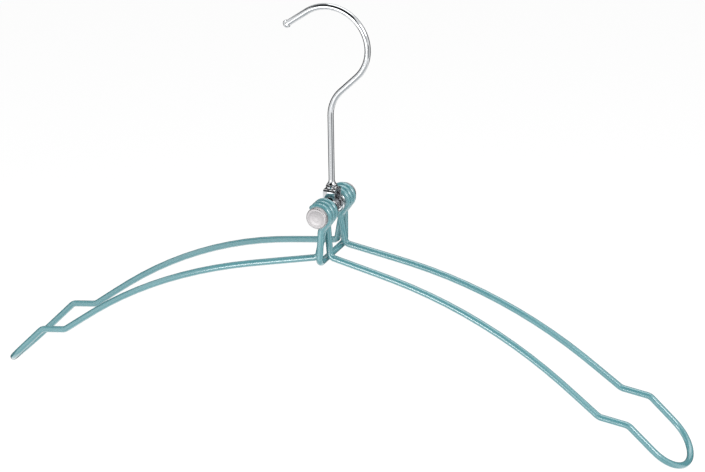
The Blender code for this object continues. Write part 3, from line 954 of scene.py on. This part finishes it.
@dataclass(frozen=True)
class Bracket:
    """The inverted U of plated strip, with round ears for the pin.

    Attributes:
        pivot: The pin that the ears hold.
        width: Width of the strip between its ears.
        thickness: Thickness of the strip.
        top: Height of its top over the pin's axis.
        bend: Outer radius of its two bends.
        ear: Radius of an ear.
        fillet: Round where an ear meets the strip.
        shank: Radius of the hook's shank, which turns in its top.
        bend_steps: Chords of a bend.
        fillet_steps: Chords of a fillet.
        ear_steps: Chords of half an ear.
        ease: Break of its edges.
        ease_steps: Faces of that break.
    """

    pivot: Pivot
    width: float = 7.0 * MM
    thickness: float = 1.0 * MM
    top: float = 10.2 * MM
    bend: float = 1.6 * MM
    ear: float = 5.7 * MM
    fillet: float = 2.0 * MM
    shank: float = 1.7 * MM
    bend_steps: int = 10
    fillet_steps: int = 8
    ear_steps: int = 40
    ease: float = 0.12 * MM
    ease_steps: int = 2

    @property
    def top_height(self) -> float:
        """Height of its top's upper face."""
        return self.pivot.height + self.top

    def outline(self) -> Profile:
        """The ear and strip seen from the front, about the pin's axis."""
        half = self.width / 2
        fillet_x = half + self.fillet
        fillet_z = sqrt((self.ear + self.fillet) ** 2 - fillet_x ** 2)
        meet = atan2(fillet_z, fillet_x)
        right = [(half, self.top + self.bend)]
        right += circle_arc((fillet_x, fillet_z), self.fillet, pi, pi + meet, self.fillet_steps)
        right += circle_arc((0, 0), self.ear, meet, -pi / 2, self.ear_steps)[1:]
        return right + [(-x, z) for x, z in reversed(right[:-1])]

    def punch(self) -> Object:
        """The tool that trims the strip to its outline."""
        points = self.outline()
        front = -2 * self.pivot.ear
        bench = Bench("bracket_punch", at(0, front, self.pivot.height), AXIS_Y,
                      [(self.ear, 0)], len(points))
        bench.reshape([at(x, front, self.pivot.height + z) for x, z in points])
        bench.draw(-2 * front)
        return bench.finish()

    def drill(self, radius: float, center: Vector, axis: Vector, length: float) -> Object:
        """The tool that cuts a round hole."""
        return Bench.turned("bracket_drill", center, axis,
                            [(radius, -length / 2), (radius, length / 2)])

    def strip(self) -> Object:
        """Bend a strip as wide as the ears into its U."""
        low = self.pivot.height - self.ear - self.bend
        reach, half = self.ear + self.bend, self.thickness / 2
        middle = self.pivot.ear - half
        bench = Bench("bracket_strip", at(0, -middle, low), AXIS_Z, [(reach, 0)], 4)
        section = ((-reach, -half), (reach, -half), (reach, half), (-reach, half))
        bench.reshape([at(x, y - middle, low) for x, y in section])
        bend_z = self.top_height - self.bend
        bend_y = self.pivot.ear - self.bend
        bench.draw(bend_z - low)
        bench.bend(at(0, -bend_y, bend_z), -AXIS_X, pi / 2, self.bend_steps)
        bench.draw(2 * bend_y)
        bench.bend(at(0, bend_y, bend_z), -AXIS_X, pi / 2, self.bend_steps)
        bench.draw(bend_z - low)
        return bench.finish()

    def build(self) -> None:
        """Bend, punch and drill the bracket, and ease its edges."""
        piece, gap = self.strip(), self.pivot.gap
        pin_line, over_top = at(0, 0, self.pivot.height), at(0, 0, self.top_height)
        tools = ((self.punch(), "INTERSECT"),
                 (self.drill(self.pivot.radius + gap, pin_line, AXIS_Y, 4 * self.pivot.ear),
                  "DIFFERENCE"),
                 (self.drill(self.shank + gap, over_top, AXIS_Z, self.top / 2), "DIFFERENCE"))
        for tool, operation in tools:
            modify(piece, "BOOLEAN", operation=operation, solver="EXACT", object=tool)
            bpy.data.objects.remove(tool)
        modify(piece, "BEVEL", width=self.ease, segments=self.ease_steps,
               limit_method="ANGLE", angle_limit=CREASE)
        bpy.ops.object.shade_smooth_by_angle(angle=CREASE)
        hand_over(piece, Slot.CHROME, "bracket", "bracket")


# The studio


def ray(azimuth: float, elevation: float) -> Vector:
    """Direction at an angle from the hanger's front round to its right, and at one upwards."""
    return at(sin(azimuth) * cos(elevation), -cos(azimuth) * cos(elevation), sin(elevation))


@dataclass(frozen=True)
class Studio:
    """Floor, world, lamps and the camera of the photograph.

    Attributes:
        middle: Middle of the pin's axis, about which the camera was fitted.
        floor_drop: How far the floor lies below the hook's seat.
        floor_size: Length of the floor's sides.
        azimuth: Camera's angle round the hanger.
        elevation: Camera's angle over it.
        roll: Camera's roll.
        distance: Camera's distance from its target.
        aside: Target's place to the right of the pin.
        above: Target's place above the pin.
        lens_mm: Focal length.
        sensor_mm: Width of the camera's sensor.
        clip: Nearest and farthest distance that the camera sees.
        fill: Strength of the even light from all round.
        floor_lift: Glow of the floor where the camera or metal sees it.
    """

    middle: Vector
    floor_drop: float = 0.75
    floor_size: float = 16.0
    azimuth: float = radians(22.8818)
    elevation: float = radians(22.4501)
    roll: float = radians(-0.8528)
    distance: float = 1666.24 * MM
    aside: float = 11.4156 * MM
    above: float = -17.1665 * MM
    lens_mm: float = 153.39
    sensor_mm: float = 36.0
    clip: tuple[float, float] = (0.05, 20.0)
    fill: float = 0.735
    floor_lift: float = 0.28

    def camera(self) -> None:
        """Place the camera of the photograph."""
        back = ray(self.azimuth, self.elevation)
        right = at(cos(self.azimuth), sin(self.azimuth), 0)
        up = back.cross(right)
        target = self.middle + right * self.aside + up * self.above
        place = Matrix((right, up, back)).transposed().to_4x4() @ Matrix.Rotation(
            self.roll, 4, "Z")
        place.translation = target + back * self.distance
        bpy.ops.object.select_all(action="DESELECT")
        bpy.ops.object.camera_add()
        camera = bpy.context.object
        camera.matrix_world = place
        camera.data.lens = self.lens_mm
        camera.data.sensor_width = self.sensor_mm
        camera.data.clip_start, camera.data.clip_end = self.clip
        bpy.context.scene.camera = camera

    def toward(self, direction: Direction) -> Vector:
        """The place that lies in a direction."""
        bearing, elevation, distance = direction
        return self.middle + distance * ray(self.azimuth + radians(bearing), radians(elevation))

    def softbox(self, name: str, direction: Direction, size: tuple[float, float],
                watts: float) -> None:
        """Hang a softbox that faces the pin.

        Args:
            name: Name of the lamp.
            direction: Where its middle stands.
            size: Its width and height.
            watts: Its power.
        """
        place = self.toward(direction)
        bpy.ops.object.select_all(action="DESELECT")
        bpy.ops.object.light_add(type="AREA", location=place)
        lamp = bpy.context.object
        lamp.name = name
        lamp.rotation_euler = (place - self.middle).to_track_quat("Z", "Y").to_euler()
        lamp.data.shape = "RECTANGLE"
        lamp.data.size, lamp.data.size_y = size
        lamp.data.energy = watts

    def card(self, name: str, direction: Direction, angles: tuple[float, float],
             tone: str) -> None:
        """Stand a paper card round the hanger that only reflections show.

        Args:
            name: Name of the card.
            direction: Where its middle stands.
            angles: How many degrees it spans across and up, seen from the pin.
            tone: Its colour as sRGB hex.
        """
        place = self.toward(direction)
        away = place - self.middle
        bpy.ops.object.select_all(action="DESELECT")
        bpy.ops.mesh.primitive_plane_add(size=2 * away.length, location=place,
                                         rotation=away.to_track_quat("Z", "Y").to_euler())
        card = bpy.context.object
        card.name = name
        card.scale = (*(tan(radians(angle / 2)) for angle in angles), 1)
        bpy.ops.object.transform_apply(location=True, rotation=True, scale=True)
        card.visible_camera = card.visible_diffuse = card.visible_shadow = False
        material, tree = new_material(f"{name}_paper")
        glow = add_node(tree, "ShaderNodeEmission", values={"Color": linear(tone)})
        tree.links.new(glow.outputs[0], tree.nodes["Material Output"].inputs["Surface"])
        card.data.materials.append(material)

    def floor(self) -> None:
        """Lay a plain white floor, a little lifted where the camera or metal sees it."""
        bpy.ops.object.select_all(action="DESELECT")
        bpy.ops.mesh.primitive_plane_add(size=self.floor_size, location=(0, 0, -self.floor_drop))
        floor = bpy.context.object
        floor.name = "studio_floor"
        material, tree = new_material("white_paper")
        shader = tree.nodes["Principled BSDF"]
        for key, value in (("Base Color", linear("#F4F4F4")), ("Roughness", 0.9),
                           ("Specular IOR Level", 0.0), ("Emission Color", linear(WHITE))):
            shader.inputs[key].default_value = value
        lift = add_node(tree, "ShaderNodeMath", {"operation": "MULTIPLY"}, {1: self.floor_lift},
                        {0: self.seen_directly(tree)})
        tree.links.new(lift.outputs[0], shader.inputs["Emission Strength"])
        floor.data.materials.append(material)

    def seen_directly(self, tree: NodeTree) -> NodeSocket:
        """A socket that is 1 for the camera's own rays and for reflections, and 0 elsewhere."""
        path = add_node(tree, "ShaderNodeLightPath").outputs
        return add_node(tree, "ShaderNodeMath", {"operation": "MAXIMUM"}, None, {
            0: path["Is Camera Ray"], 1: path["Is Glossy Ray"]}).outputs[0]

    def world(self) -> None:
        """Light everything evenly, with white where the camera or metal sees it."""
        world = bpy.data.worlds.new("studio_world")
        bpy.context.scene.world = world
        world.use_nodes = True
        tree = world.node_tree
        background = tree.nodes["Background"]
        background.inputs["Color"].default_value = linear(WHITE)
        strength = add_node(tree, "ShaderNodeMapRange", values={
            "To Min": self.fill, "To Max": 1.0}, links={"Value": self.seen_directly(tree)})
        tree.links.new(strength.outputs["Result"], background.inputs["Strength"])

    def build(self) -> None:
        """Set up the whole studio."""
        self.camera()
        self.world()
        self.floor()
        self.softbox("top_softbox", (155, 68, 1.3), (1.2, 0.9), 3.7)
        self.softbox("right_softbox", (45, 26, 1.4), (0.6, 0.55), 5.2)
        self.softbox("left_softbox", (-39, -7, 1.8), (0.66, 0.60), 7.2)
        self.card("dark_back", (180, -6, 0.75), (100, 68), "#46484A")
        self.card("dark_room", (-32, 55, 1.1), (74, 62), "#141618")
        self.card("camera_side", (2, 14, 1.2), (60, 28), "#B2B4B6")
        self.card("low_right", (40, -15, 1.2), (38, 24), "#8A8C8E")
        self.card("edge_right", (125, -7, 0.9), (54, 50), "#4A4C4E")
        self.card("edge_left", (-125, -8, 0.9), (50, 56), "#4A4C4E")
        self.card("upper_left", (-112, 50, 1.0), (44, 40), "#5A5C5E")
        self.card("under", (0, -72, 0.6), (100, 70), "#D0D2D4")
        bpy.context.scene.view_settings.view_transform = "Standard"


def main() -> None:
    """Load the frame, build each sub-assembly on it and set up the studio."""
    logging.basicConfig(level=logging.INFO, format="%(name)s: %(message)s")
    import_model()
    pivot = Pivot()
    Studio(middle=at(0, pivot.middle, pivot.height)).build()
    bracket = Bracket(pivot)
    SwivelHook(bracket).build()
    bracket.build()
    pivot.build()
    StopStirrup(pivot).build()
    HangerArm(pivot, end_angle=radians(245.0), neck_length=5.8 * MM, body="right_arm",
              side=Side.RIGHT, place=0, splay=1.9 * MM, notch_length=16.8 * MM,
              tip_slope=radians(42.6), tip_straight=19.4 * MM).build()
    HangerArm(pivot, body="left_arm", side=Side.LEFT, place=1, splay=0.8 * MM,
              foot_reach=0.7 * MM, swell=4.6 * MM, notch_length=15.3 * MM,
              tip_slope=radians(45.5), tip_straight=20.7 * MM).build()


if __name__ == "__main__":
    main()
